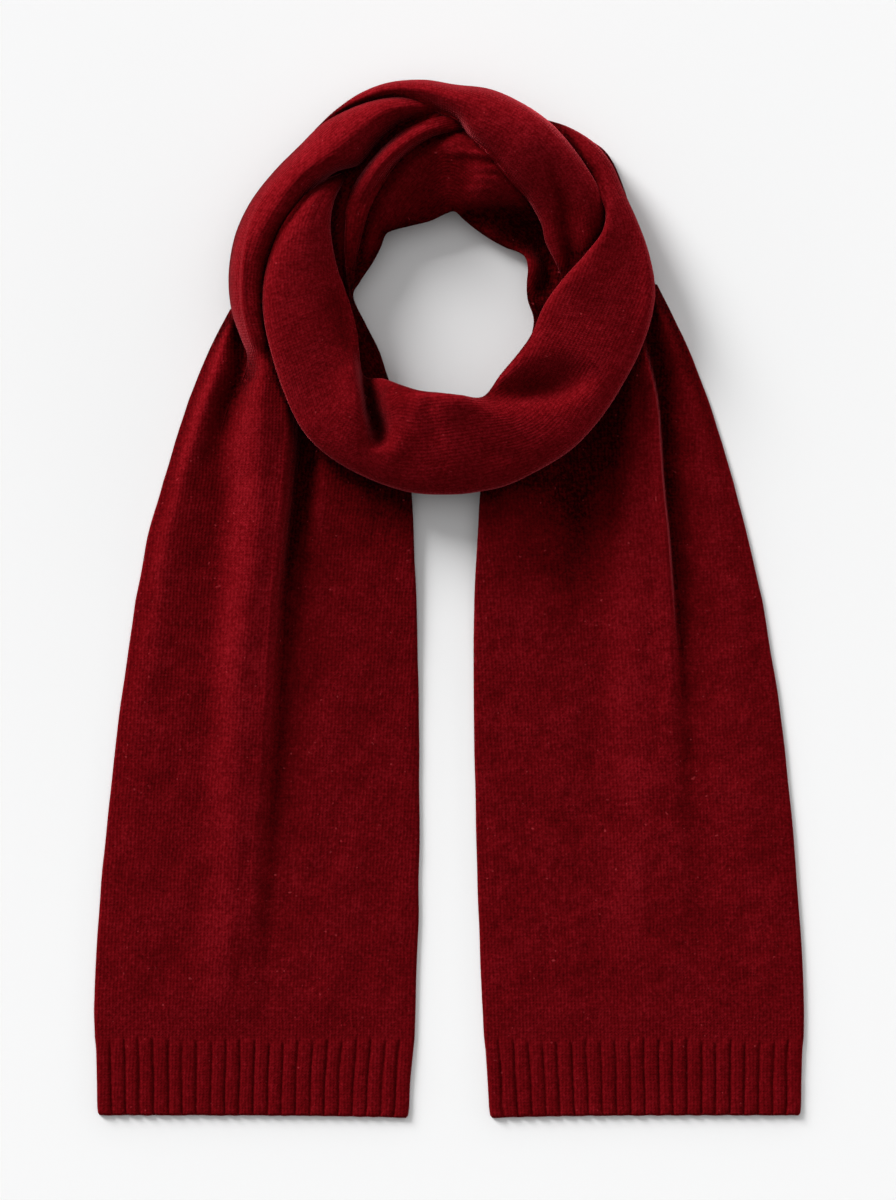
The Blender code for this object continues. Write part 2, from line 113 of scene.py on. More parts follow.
PLEAT_OUTER = [Section(*row) for row in [
    (-196, 140, -130, 140, 6, 6, 2, 0.5, 2, 2),
    (-190, 162, -131, 160, 8, 10, 8, 0.5, 2, 2),
    (-178, 184, -140, 180, 12, 20, 14, 0.48, 2, 2),
    (-172, 204, -146, 204, 14, 22, 18, 0.42, 1.9, 1.7),
    (-178, 222, -146, 222, 12, 21, 26, 0.43, 1.9, 1.7),
    (-185, 242, -148, 242, 10, 20, 31, 0.42, 1.9, 1.7),
    (-188, 264, -149, 262, 9, 20, 34, 0.42, 1.9, 1.7),
    (-187, 287, -147, 284, 9, 20, 36, 0.44, 1.9, 1.7),
    (-181, 313, -139, 304, 10, 20, 37, 0.46, 1.8, 1.7),
    (-168, 339, -127, 324, 12, 22, 37, 0.49, 1.7, 1.6),
    (-149, 363, -113, 347, 14, 25, 35, 0.52, 1.7, 1.6),
    (-128, 384, -97, 361, 16, 30, 32, 0.54, 1.7, 1.7),
    (-109, 402, -76, 368, 20, 28, 32, 0.52, 1.8, 1.6),
    (-85, 415, -59, 386, 25, 26, 29, 0.5, 1.8, 1.5),
    (-60, 423, -41, 401, 27, 25, 24, 0.48, 2, 1.5),
    (-34, 425, -20, 408, 27, 25, 16, 0.48, 2, 1.6, 0.4),
    (-8, 420, 2, 410, 24, 24, 7, 0.5, 2, 2, 1),
    (12, 414, 16, 408, 18, 18, 1, 0.5, 2, 2, 1),
]]

CROWN = [Section(*row) for row in [
    (-115, 398, -110, 397, 8, 8, 1, 0.4, 2, 1.6, 1),
    (-98, 414, -93, 405, 12, 9, 7, 0.34, 2, 1.4, 1),
    (-76, 429, -74, 412, 14, 10, 15, 0.32, 2, 1.3, 1),
    (-51, 438, -49, 417, 16, 12, 24, 0.34, 2, 1.3, 1),
    (-22, 440, -22, 412, 18, 18, 31, 0.38, 2, 1.4, 0.6),
    (4, 436, 4, 405, 19, 30, 35, 0.44, 2, 1.6),
    (34, 432, 18, 389, 21, 37, 34, 0.46, 2.2, 1.8),
    (61, 420, 35, 372, 25, 35, 33, 0.42, 2.4, 2),
    (85, 403, 50, 354, 32, 31, 28, 0.4, 2.4, 2.1),
    (107, 378, 66, 337, 34, 27, 22, 0.4, 2.4, 2.1),
    (126, 348, 77, 318, 32, 23, 16, 0.4, 2.6, 2),
    (135, 322, 81, 302, 25, 20, 14, 0.44, 2.2, 1.9),
    (136, 300, 89, 286, 20, 17, 10, 0.46, 2, 1.8),
    (130, 280, 95, 272, 14, 13, 6, 0.46, 1.8, 1.8),
    (122, 264, 100, 258, 9, 10, 2, 0.5, 2, 2),
]]

COWL = [Section(*row) for row in [
    (80, 407, 80, 398, 12, 12, 1, 0.5, 2, 2, 1),
    (101, 400, 95, 380, 15, 14, 10, 0.5, 2, 2, 1),
    (122, 387, 108, 364, 16, 19, 14, 0.5, 2, 2, 1),
    (137, 369, 121, 346, 15, 25, 14, 0.48, 2.2, 2, 0.8),
    (147, 347, 131, 330, 14, 33, 14, 0.42, 2.6, 2.2, 0.1),
    (160, 318, 129, 311, 14, 38, 13, 0.4, 3, 2.2),
    (169, 292, 114, 291, 15, 39, 13, 0.42, 3.4, 2.4),
    (174, 264, 96, 271, 16, 39, 14, 0.44, 3.6, 2.6),
    (171, 238, 80, 249, 17, 39, 15, 0.44, 3.4, 2.8),
    (161, 209, 69, 224, 18, 40, 16, 0.46, 3.2, 2.8),
    (148, 184, 58, 208, 20, 42, 19, 0.46, 3.2, 2.8),
    (128, 153, 43, 190, 25, 44, 21, 0.48, 3.2, 2.8),
    (100, 124, 28, 171, 29, 46, 21, 0.5, 3.2, 3.2),
    (56, 99, 9, 172, 28, 50, 18, 0.54, 3.2, 3.6),
    (28, 91, 0, 173, 24, 51, 18, 0.54, 3, 3.6),
    (0, 88, -9, 174, 23, 49, 19, 0.52, 2.8, 3.6),
    (-34, 90, -26, 176, 24, 47, 18, 0.48, 2.7, 3),
    (-68, 101, -42, 181, 27, 44, 17, 0.46, 2.7, 2.6),
    (-98, 117, -56, 186, 32, 42, 17, 0.46, 2.6, 2.3),
    (-119, 135, -72, 188, 38, 41, 13, 0.5, 2.2, 2),
    (-132, 155, -76, 200, 41, 41, 11, 0.52, 2, 1.8),
    (-144, 184, -78, 222, 42, 38, 14, 0.52, 2.2, 1.4),
    (-153, 214, -83, 244, 43, 35, 17, 0.5, 2.3, 1.3),
    (-158, 240, -89, 262, 43, 35, 17.5, 0.51, 2.3, 1.4),
    (-158, 266, -95, 279, 42, 35, 18, 0.51, 2.3, 1.6),
    (-152, 292, -99, 297, 41, 36, 18, 0.51, 2.2, 1.8),
    (-141, 317, -101, 316, 38, 37, 18, 0.48, 2, 1.9),
    (-124, 340, -99, 333, 33, 35, 18, 0.44, 1.9, 1.8, 0.2),
    (-107, 354, -94, 346, 26, 27, 13, 0.5, 2, 2, 0.7),
    (-90, 362, -87, 357, 19, 18, 5, 0.5, 2, 2, 1),
]]

# ---- the folds in them
# A fold is a list of points along its line. Each gives x, y, the fold's height there, and the widths
# over which it fades out to the left and to the right of the line, looking from the first point to
# the last. A height below zero is a trough.
NECK_FOLDS = [
    # the hollow under the crown's inner edge
    [(8, 320, -2, 8, 10), (24, 324, -12, 12, 16), (44, 324, -20, 16, 20), (62, 314, -22, 18, 20),
     (76, 300, -17, 16, 12), (83, 284, -14, 14, 8), (80, 266, -9, 12, 7), (76, 250, 0, 8, 8)],
    # the valley along the inner pleat
    [(-82, 262, 0, 6, 4), (-78, 285, -3, 6, 5), (-72, 312, -5, 8, 6), (-62, 337, -6, 8, 8),
     (-49, 359, -6, 8, 8), (-32, 376, -6, 8, 7), (-12, 390, -9, 10, 6), (6, 396, -9, 10, 7),
     (22, 396, -3, 8, 8)],
    # fine wrinkles in the lit part of the wrap
    [(-10, 377, 0, 4, 2), (8, 377, 2.4, 4, 1.8), (28, 375, 2.8, 4, 1.8), (42, 370, 0, 4, 2)],
    [(12, 362, 0, 3, 2), (26, 363, 1.8, 3, 1.6), (40, 362, 1.8, 3, 1.6), (48, 356, 0, 3, 2)],
    [(8, 354, 0, 3, 2), (24, 355, 1.6, 3, 1.6), (38, 354, 1.6, 3, 1.6), (46, 348, 0, 3, 2)],
    [(10, 347, 0, 3, 2), (24, 347, 1.4, 3, 1.6), (36, 346, 1.2, 3, 1.6), (44, 342, 0, 3, 2)],
    # the soft fold that stands at the wrap's tip
    [(4, 330, 1, 10, 8), (2, 345, 2.5, 12, 9), (-2, 362, 1.5, 14, 12), (-8, 376, 0, 14, 12)],
]

PLEAT_OUTER_FOLDS = [
    # the fine ridge inside the outer edge
    [(-142, 362, 0, 5, 2.2), (-157, 341, 1.6, 4, 1.7), (-168, 318, 2.6, 3.6, 1.5),
     (-174, 294, 3.2, 3.4, 1.4), (-176, 268, 3.4, 3.4, 1.4), (-175, 244, 3, 3.6, 1.5),
     (-170, 222, 2, 4, 1.8), (-163, 204, 0, 5, 3)],
]

CROWN_FOLDS = [
    # the soft valley down the middle of the right side
    [(74, 384, 0, 9, 8), (82, 372, -1, 11, 7), (89, 354, -4, 12, 7), (95, 334, -6.5, 12, 7),
     (99, 312, -7, 11, 7), (102, 292, -6.5, 10, 6), (104, 275, 0, 8, 5)],
    # the thin ridge along its inner edge
    [(66, 345, 0, 5, 4), (76, 329, 0.6, 6, 4), (82, 309, 1.2, 6, 4), (90, 291, 1.2, 5, 3),
     (97, 276, 0.6, 5, 3)],
    # the fine rim where it meets the shoulder
    [(60, 417, 0, 3, 4), (77, 403, 1, 3, 4), (92, 388, 1.4, 3, 4), (104, 371, 1, 3, 4),
     (114, 352, 0, 3, 4)],
    # a soft dent across the top
    [(4, 424, 0, 10, 8), (24, 412, -2.5, 12, 9), (44, 398, -2.5, 12, 10), (62, 378, 0, 12, 10)],
]

COWL_FOLDS = [
    # the deep notch where the left side turns into the front
    [(-77, 208, -6, 14, 4), (-74, 192, -18, 14, 4), (-71, 174, -27, 14, 4), (-68, 158, -29, 13, 4.5),
     (-64, 146, -28, 12, 5.5), (-61, 138, -23, 10, 7), (-59, 131, -9, 9, 8), (-58, 125, 0, 9, 9)],
    # the raised side of the notch, along the left side's inner edge
    [(-86, 196, 0, 7, 14), (-84, 180, 2.5, 7, 15), (-81, 158, 3, 7, 16), (-76, 138, 2, 9, 15),
     (-68, 122, 0, 10, 14)],
    # the long trough at the right of the opening, and the ridge that runs below it
    [(26, 171, -3, 8, 9), (42, 172, -13, 13, 12), (63, 174, -19, 19, 13), (86, 178, -20, 22, 13),
     (106, 186, -12, 22, 13), (122, 198, 0, 20, 12)],
    [(24, 159, 0, 8, 12), (46, 156, -1.5, 8, 14), (72, 153, -2, 8, 16), (102, 158, -1, 8, 17),
     (126, 174, 0.5, 10, 18), (142, 191, 0, 10, 18)],
    # the bright bump right of the notch's foot
    [(-60, 106, 0, 8, 9), (-52, 116, 1.4, 8, 9), (-43, 127, 2, 8, 9), (-34, 138, 1.2, 8, 8),
     (-28, 150, 0, 8, 8)],
    # the front's inner rim
    [(-32, 178, 0, 6, 14), (-20, 175, 3, 6, 20), (-6, 174, 5, 6, 22), (10, 173, 5, 6, 20),
     (26, 171, 1, 6, 12)],
    # soft folds in the front
    [(-19, 171, 0, 6, 8), (-18, 162, -2.4, 6, 9), (-15, 149, -3, 6, 9), (-9, 138, -2.4, 7, 9),
     (0, 127, 0, 8, 9)],
    [(-43, 174, 0, 6, 6), (-36, 168, 0.7, 6, 6), (-29, 159, 0.9, 6, 6), (-24, 150, 0, 7, 7)],
    [(26, 126, 0, 5, 6), (40, 122, -1.5, 4, 6), (56, 119, -1.2, 4, 6), (70, 117, 0, 5, 6)],
    # soft dents in the left side and in the right shoulder
    [(-104, 264, 0, 12, 10), (-96, 247, -4, 14, 12), (-88, 229, -6, 14, 13), (-83, 212, -6, 13, 12),
     (-83, 194, 0, 12, 9)],
    [(100, 268, 0, 12, 12), (112, 252, -3, 14, 14), (122, 236, -3, 14, 14), (132, 218, 0, 12, 12)],
    # fine wrinkles near the left side's upper end
    [(-101, 352, 0, 3, 2), (-106, 340, -1.6, 3, 2), (-112, 326, -1.2, 3, 2), (-116, 314, 0, 3, 2)],
    [(-106, 348, 0, 3, 2), (-112, 336, -1.2, 3, 2), (-118, 324, 0, 3, 2)],
    # the crest of the right shoulder's rim
    [(144, 346, 0, 4, 7), (157, 316, 3, 4, 8), (166, 290, 6, 4, 8), (170, 264, 6, 4, 8),
     (167, 240, 5, 4, 8), (158, 212, 2, 4, 8), (142, 184, 0, 4, 8)],
]

# Painted shade where the cloth round a piece keeps the light off it, and painted highlight where it lets
# more of it in, beyond what the shading painted from its depth alone gives: lines as for the folds, with
# the share of painted shade in place of the height, below zero a painted highlight.
PAINTED_SHADING_LINES = {
    "tail_right_knit": [
        # painted shade in the hollow that it comes out of, and more of it in the deepest part of that
        # beside the fold
        [(120, 150, 0.5, 22, 60), (100, 98, 0.42, 30, 58), (98, 62, 0.46, 34, 66),
         (96, 33, 0.44, 36, 70), (90, 4, 0.2, 40, 64), (82, -26, 0, 40, 60)],
        [(138, 160, 0.4, 10, 12), (130, 118, 0.4, 9, 11), (124, 88, 0.3, 8, 12), (118, 56, 0, 8, 12)],
        [(78, 130, 0.3, 8, 10), (68, 98, 0.25, 8, 11), (62, 70, 0, 8, 12)]],
    "tail_left_knit": [
        # painted shade under the outer pleat's end
        [(-170, 205, 0.25, 14, 14), (-167, 172, 0.25, 14, 14), (-162, 140, 0.1, 14, 14),
         (-160, 112, 0, 12, 12)]],
    "pleat_outer_knit": [
        # painted shade along its lower end, where it runs into the tail
        [(-168, 215, 0, 14, 14), (-167, 190, 0.2, 14, 14), (-166, 165, 0.3, 14, 14)]],
    "pleat_inner_knit": [
        # painted shade on its lower end, deep between the left side and the wrap
        [(-86, 268, 0.4, 14, 14), (-83, 300, 0.45, 14, 14), (-78, 325, 0.3, 16, 16),
         (-70, 348, 0, 16, 16)]],
    "crown_knit": [
        # painted highlight on the open right half
        [(48, 414, 0, 20, 18), (72, 392, -0.16, 24, 20), (96, 360, -0.18, 24, 16),
         (112, 330, 0, 16, 12)]],
    "cowl_knit": [
        # painted shade on the left side's inner edge, above the notch
        [(-92, 252, 0, 12, 12), (-90, 236, 0.2, 14, 14), (-87, 218, 0.3, 14, 16),
         (-84, 200, 0.15, 12, 14), (-84, 186, 0, 12, 12)],
        # painted shade right of the notch's top, and on the slope under the trough
        [(-44, 182, 0.3, 12, 12), (-44, 164, 0.28, 12, 12), (-42, 148, 0, 12, 12)],
        [(30, 166, 0, 8, 8), (48, 161, 0.22, 9, 9), (74, 158, 0.25, 10, 10), (98, 162, 0.15, 10, 10),
         (118, 174, 0, 10, 10)]],
}

# ---- the tails
# One row for each line across a tail: its place along Y, then the places across it from the outer
# edge to the inner one, then the height under the cloth at each of them but the outer edge, where
# the cloth lies on the table. A height that is left out is 0.
Across = namedtuple(
    "Across", "y edge strip foot pleat crest groove panel inner "
    "strip_z foot_z pleat_z crest_z groove_z panel_z inner_z", defaults=[0] * 7)

TAIL_LEFT = [Across(*row) for row in [
    (-372, -302, -272, -232, -196, -178, -152, -106, -30),
    (-341, -302.4, -270, -230, -194, -176, -152, -108, -29, 0.6, 0.5, 3, 2.4, 0.1, 0.5),
    (-256, -297.5, -265, -216, -184, -170, -150, -112, -26.7, 2, 2, 7.5, 6.5, 0.2, 1),
    (-171, -289.2, -259, -212, -179, -164, -146, -112, -26, 3, 3, 12, 10.5, 0.2, 1.4),
    (-86, -279.5, -254, -208, -177, -158, -142, -110, -26.6, 4, 3.6, 16, 14.5, 0.2, 1.8, 0.6),
    (-1, -267.2, -243, -202, -169, -152, -138, -106, -28.6, 6, 4, 20, 18.5, 0.4, 3.4, 2.8),
    (50, -257.7, -237, -198, -163, -146, -134, -108, -30.7, 8, 4.5, 22.5, 21, 0.6, 6.5, 5.5),
    (100, -243.6, -226, -196, -160, -142, -127, -106, -33, 10, 4.5, 25, 23.5, 1, 13, 8),
    (135, -233, -216, -194, -160, -138, -124, -104, -38, 12, 4.5, 29, 27, 2, 16, 10),
    (169, -222, -206, -187, -158, -138, -126, -98, -47, 13, 4, 33, 31, 4, 14, 10),
    (194, -212, -197, -177, -156, -142, -131, -98, -56, 13, 4, 32, 30, 5, 8, 9),
    (220, -200.5, -190, -174, -160, -147, -134, -102, -68, 10, 2, 20, 18, 6, 10),
    (246, -187, -180, -170, -162, -150, -136, -106, -84, 6, 2, 8, 8, 5, 8),
]]

TAIL_RIGHT = [Across(*row) for row in [
    (-372, 300.7, 268, 222, 196, 164, 127, 84, 28.8),
    (-341, 300.8, 267, 221, 192, 165, 127, 84, 27, 0.6, 0.2, 1, 0.8, 0.3, 0.4),
    (-256, 296, 262, 216, 190, 164, 127, 84, 23.8, 2, 0.5, 3, 3, 0.8, 1),
    (-171, 289, 254, 210, 190, 165, 126, 83, 21.6, 3, 0.6, 5, 4.5, 0.8, 2, 0.5),
    (-86, 279.2, 244, 201, 188, 165, 124, 80, 20.1, 3, 0.5, 8, 6, 0.4, 2.4, 1.4),
    (-1, 265.3, 238, 193, 187, 167, 124, 60, 20.5, 3, 0.4, 11.5, 8.5, 0.2, 6, 5),
    (50, 253.6, 231, 188, 184.5, 169, 126, 50, 23.2, 3, 0.3, 14, 10.5, 0.2, 13, 11.5),
    (100, 240.7, 222, 183, 179.5, 167, 129, 50, 26.4, 3, 0.3, 15, 11.5, 0.3, 20, 17),
    (135, 230.4, 213, 181, 177, 164, 131, 56, 31.5, 4, 0.3, 15, 11.5, 0.5, 22, 18),
    (169, 219.4, 203, 178, 174, 160, 132, 78, 44, 5, 0.4, 14, 11, 1, 18, 13),
    (203, 206.6, 190, 172, 166, 152, 128, 88, 62, 6, 0.6, 12, 11, 2, 14, 10),
    (232, 193.4, 181, 164, 158, 146, 127, 98, 78, 7, 1, 10, 10, 3, 9, 7),
    (267, 176, 168, 158, 150, 140, 128, 116, 106, 6, 3, 6, 7, 4, 8, 5),
]]

# ---- the ribbed ends
# One row for each line across a ribbed end: its place along Y, its outer edge and its inner edge.
RIB_LEFT = [
    (-372, -302, -30), (-384, -300.8, -31.2), (-410, -300.2, -33.7), (-430, -299.9, -34.7),
    (-436.5, -299.2, -35.6), (-438.6, -297.6, -37.4)]

RIB_RIGHT = [
    (-372, 300.7, 28.8), (-384, 299.5, 30.2), (-410, 298.7, 31.9), (-430, 298.4, 33.1),
    (-436.5, 297.7, 34.1), (-438.6, 296.1, 35.9)]


# ---- settings
def length(name, description, default):
    """A length, in metres."""
    return bpy.props.FloatProperty(name=name, description=description, default=default, unit="LENGTH")


def colour(name, description, red, green, blue):
    """An opaque colour."""
    return bpy.props.FloatVectorProperty(
        name=name, description=description, subtype="COLOR", size=4, default=(red, green, blue, 1.0),
        min=0, max=1)


def brightness(name, description, default):
    """The strength of a light."""
    return bpy.props.FloatProperty(name=name, description=description, default=default, min=0)


class ScarfCloth(bpy.types.PropertyGroup):
    """Sizes of the knitted cloth."""
    thickness: length("Thickness", "Thickness of the knitted cloth", 0.003)
    spacing: length("Mesh spacing", "Distance between mesh points", 0.0021)
    wale: length("Wale", "Width of one column of stitches", 0.003)
    course: length("Course", "Height of one row of stitches", 0.0024)
    ribs: bpy.props.IntProperty(
        name="Ribs", description="Ribs across one end", default=22, min=2)
    rib_rise: length("Rib rise", "How far a rib stands above its groove", 0.0021)
    relief: length("Stitch relief", "Depth of the stitches' bump", 0.0006)


class ScarfColours(bpy.types.PropertyGroup):
    """Colours of the wool and of the floor."""
    wool: colour("Wool", "Main colour of the wool", 0.097, 0.0018, 0.0031)
    # shade: darker flecks, and the painted shade in the folds and the stitches' grooves
    shade: colour("Shade", "Darker flecks and the depth of the folds", 0.012, 0.0004, 0.0005)
    # light: lighter flecks, and the painted highlight on open crests, where the painted shading is below
    # zero
    light: colour("Light", "Lighter flecks and brushed crests", 0.22, 0.007, 0.012)
    fibre: colour("Fibre", "A few single pale fibres", 0.34, 0.03, 0.036)
    sheen: colour("Nap", "Tint of the nap's sheen", 1.0, 0.13, 0.16)
    floor: colour("Floor", "Colour of the floor", 0.9, 0.9, 0.902)


class ScarfLight(bpy.types.PropertyGroup):
    """Strength of the soft studio light."""
    key: brightness("Key", "Soft light from the upper left", 4.6)
    overhead: brightness("Overhead", "Even light from above", 0.54)
    around: brightness("Around", "Even light from the walls all round", 0.36)
    band: brightness("Band", "Light just above the table, on top of the even light", 3.4)


# ---- curves
def smooth_rows(rows, places):
    """Catmull-Rom curve through the rows, read at places from 0 to the last row's index."""
    rows = np.asarray(rows, float)
    padded = np.vstack([2 * rows[0] - rows[1], rows, 2 * rows[-1] - rows[-2]])
    places = np.clip(np.asarray(places, float), 0, len(rows) - 1)
    start = np.minimum(places.astype(int), len(rows) - 2)
    t = (places - start)[..., None]
    p0, p1, p2, p3 = (padded[start + k] for k in range(4))
    return 0.5 * (2 * p1 + (p2 - p0) * t + (2 * p0 - 5 * p1 + 4 * p2 - p3) * t ** 2
                  + (3 * p1 - p0 - 3 * p2 + p3) * t ** 3)


def read_lines(rows, y):
    """A table whose first column is Y, as a smooth curve read at y."""
    lines = np.array(rows, float)
    way = np.sign(lines[-1, 0] - lines[0, 0])
    return smooth_rows(lines, np.interp(way * y, way * lines[:, 0], np.arange(len(lines))))


def even_places(points, count):
    """Places on the rows that are evenly spaced along the line through points."""
    steps = np.linalg.norm(np.diff(points, axis=0), axis=1)
    travelled = np.concatenate([[0.0], np.cumsum(steps)])
    return np.interp(np.linspace(0, travelled[-1], count), travelled, np.arange(len(points)))


def ease(value):
    """Smooth step: 3 v^2 - 2 v^3, with v held between 0 and 1."""
    value = np.clip(value, 0, 1)
    return value * value * (3 - 2 * value)


def fold_height(x, y, folds):
    """Sum of the folds' heights at the points x, y.

    With d the distance from the fold's line, positive on its right, a fold adds
    height * exp(-(d / width)^2), with the width of the side that the point is on.
    """
    total = np.zeros_like(x)
    for fold in folds:
        curve = smooth_rows(fold, np.linspace(0, len(fold) - 1, 6 * len(fold)))
        best = np.full(x.shape, np.inf)
        addition = np.zeros_like(x)
        for a, b in zip(curve[:-1], curve[1:]):
            run = b[:2] - a[:2]
            along = np.clip(((x - a[0]) * run[0] + (y - a[1]) * run[1]) / (run @ run), 0, 1)
            dx = x - (a[0] + along * run[0])
            dy = y - (a[1] + along * run[1])
            distance = np.hypot(dx, dy)
            height, left, right = (a[k] + along * (b[k] - a[k]) for k in (2, 3, 4))
            width = np.where(run[1] * dx - run[0] * dy > 0, right, left)
            nearer = distance < best
            best = np.where(nearer, distance, best)
            addition = np.where(nearer, height * np.exp(-(distance / width) ** 2), addition)
        total += addition
    return total


def unevenness(x, y, size, seed):
    """Gentle unevenness, mostly from -1 to 1: nine sine waves of about that size, turned at random."""
    chance = np.random.default_rng(seed)
    total = np.zeros_like(x)
    for _ in range(9):
        turn, phase = chance.uniform(0, 2 * np.pi, 2)
        wave = 2 * np.pi / (size * chance.uniform(0.6, 1.6))
        total += np.sin(wave * (x * np.cos(turn) + y * np.sin(turn)) + phase)
    return total / 4.5


# ---- the height map that each stretch is laid on
class Heap:
    """Heights of the cloth laid so far, on a grid of 1 mm cells."""

    left, low, wide, deep = -330, -460, 661, 921

    def __init__(self):
        self.height = np.zeros((self.deep, self.wide))

    def add(self, points):
        """Raise the map to a grid of points, filled in between them by straight lines."""
        fine = points
        for axis in (0, 1):
            places = np.linspace(0, fine.shape[axis] - 1, (fine.shape[axis] - 1) * 3 + 1)
            start = np.minimum(places.astype(int), fine.shape[axis] - 2)
            part = (places - start).reshape([-1, 1, 1] if axis == 0 else [1, -1, 1])
            fine = np.take(fine, start, axis) * (1 - part) + np.take(fine, start + 1, axis) * part
        column = np.clip(np.rint(fine[..., 0] - self.left).astype(int), 0, self.wide - 1)
        row = np.clip(np.rint(fine[..., 1] - self.low).astype(int), 0, self.deep - 1)
        np.maximum.at(self.height, (row, column), fine[..., 2])

    def spread(self, cells):
        """The map with each cell raised to the highest one within so many cells."""
        result = self.height
        for _ in range(cells):
            padded = np.pad(result, 1, mode="edge")
            result = np.max([padded[1 + dy:self.deep + 1 + dy, 1 + dx:self.wide + 1 + dx]
                             for dy in (-1, 0, 1) for dx in (-1, 0, 1)], axis=0)
        return result

    def soften(self, heights, size):
        """The heights blurred by a bell curve of that size, as a product in frequency space."""
        fy = np.fft.fftfreq(self.deep)[:, None]
        fx = np.fft.rfftfreq(self.wide)[None]
        bell = np.exp(-2 * (np.pi * size) ** 2 * (fx ** 2 + fy ** 2))
        return np.fft.irfft2(np.fft.rfft2(heights) * bell, s=heights.shape)

    def read(self, heights, x, y):
        """The heights at the points x, y, by straight lines between the cells."""
        u = np.clip(x - self.left, 0, self.wide - 1.001)
        v = np.clip(y - self.low, 0, self.deep - 1.001)
        i, j = v.astype(int), u.astype(int)
        u, v = u - j, v - i
        return (heights[i, j] * (1 - u) * (1 - v) + heights[i, j + 1] * u * (1 - v)
                + heights[i + 1, j] * (1 - u) * v + heights[i + 1, j + 1] * u * v)


heap = Heap()
laid = []


# ---- meshes
def surface_normals(points):
    """Unit normals of a grid of points: the cross product of its two directions."""
    along = np.gradient(points, axis=0)
    across = np.gradient(points, axis=1)
    normal = np.cross(along, across)
    return normal / np.maximum(np.linalg.norm(normal, axis=2, keepdims=True), 1e-9)


def arc_lengths(points, axis):
    """Distance travelled over a grid of points along one of its axes."""
    steps = np.linalg.norm(np.diff(points, axis=axis), axis=2)
    first = np.zeros_like(np.take(steps, [0], axis))
    return np.concatenate([first, np.cumsum(steps, axis)], axis)


def add_shell(name, outside, inside, across, along, slot):
    """A closed shell of cloth from two grids of points, its outside and its inside.

    The faces are the cells of both grids and the strip that joins their borders. Across and along
    are each point's place on the knitted cloth, kept in metres as the map called cloth.
    """
    rows, columns = outside.shape[:2]
    top = np.arange(rows * columns).reshape(rows, columns)
    cells = np.stack([top[:-1, :-1], top[1:, :-1], top[1:, 1:], top[:-1, 1:]], axis=2).reshape(-1, 4)
    border = np.concatenate([top[0, :-1], top[:-1, -1], top[-1, :0:-1], top[:0:-1, 0]])
    ahead = np.roll(border, -1)
    below = top.size
    faces = np.concatenate([cells, cells[:, ::-1] + below,
                            np.stack([border, ahead, ahead + below, border + below], axis=1)])
    # a solid has a positive volume when its faces point out
    points = np.concatenate([outside.reshape(-1, 3), inside.reshape(-1, 3)])
    corner = points[faces]
    volume = (np.cross(corner[:, 0], corner[:, 1]) * corner[:, 2]).sum()
    volume += (np.cross(corner[:, 0], corner[:, 2]) * corner[:, 3]).sum()
    if volume < 0:
        faces = faces[:, ::-1]
    mesh = bpy.data.meshes.new(name + "_knit")
    mesh.from_pydata((points * MM).tolist(), [], faces.tolist())
    layer = mesh.uv_layers.new(name="cloth")
    places = np.dstack([across, along]).reshape(-1, 2) * MM
    layer.data.foreach_set("uv", np.concatenate([places, places])[faces.ravel()].ravel())
    mesh.shade_smooth()
    mesh.set_sharp_from_angle(angle=np.radians(65))
    piece = bpy.data.objects.new(name + "_knit", mesh)
    bpy.context.scene.collection.objects.link(piece)
    piece.data.materials.append(knit_material(slot))
    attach(piece, "root")
    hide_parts(name)
    laid.append(piece)
    heap.add(outside)


def curl_edges(points, width, tuck):
    """The grid with a quarter ellipse added at both edges.

    It goes down to 0.4 mm over what the edge lies on, by LIP at most, and in by as much, up to 7 mm
    or a quarter of the stretch's width. A tucked edge goes down past what it lies on.
    """
    angle = np.linspace(0, np.pi / 2, 6)[None, 1:, None]
    first, last = points[:, :1], points[:, -1:]
    edges = []
    for rim, far in ((first, last), (last, first)):
        inward = (far - rim) * [1, 1, 0]
        inward = inward / np.maximum(np.linalg.norm(inward, axis=2, keepdims=True), 1e-9)
        ground = heap.read(heap.height, rim[..., 0], rim[..., 1])[..., None]
        ground = ground * (1 - np.clip(tuck, 0, 1))[..., None]
        drop = np.clip(rim[..., 2:] - ground - 0.4, 0.3, LIP)
        reach = np.minimum(np.clip(drop, 0.5, 7), width[..., None] / 4)
        curl = rim + inward * reach * (1 - np.cos(angle))
        curl[..., 2] -= (drop * np.sin(angle))[..., 0]
        edges.append(curl)
    return np.concatenate([edges[0][:, ::-1], points, edges[1]], axis=1)


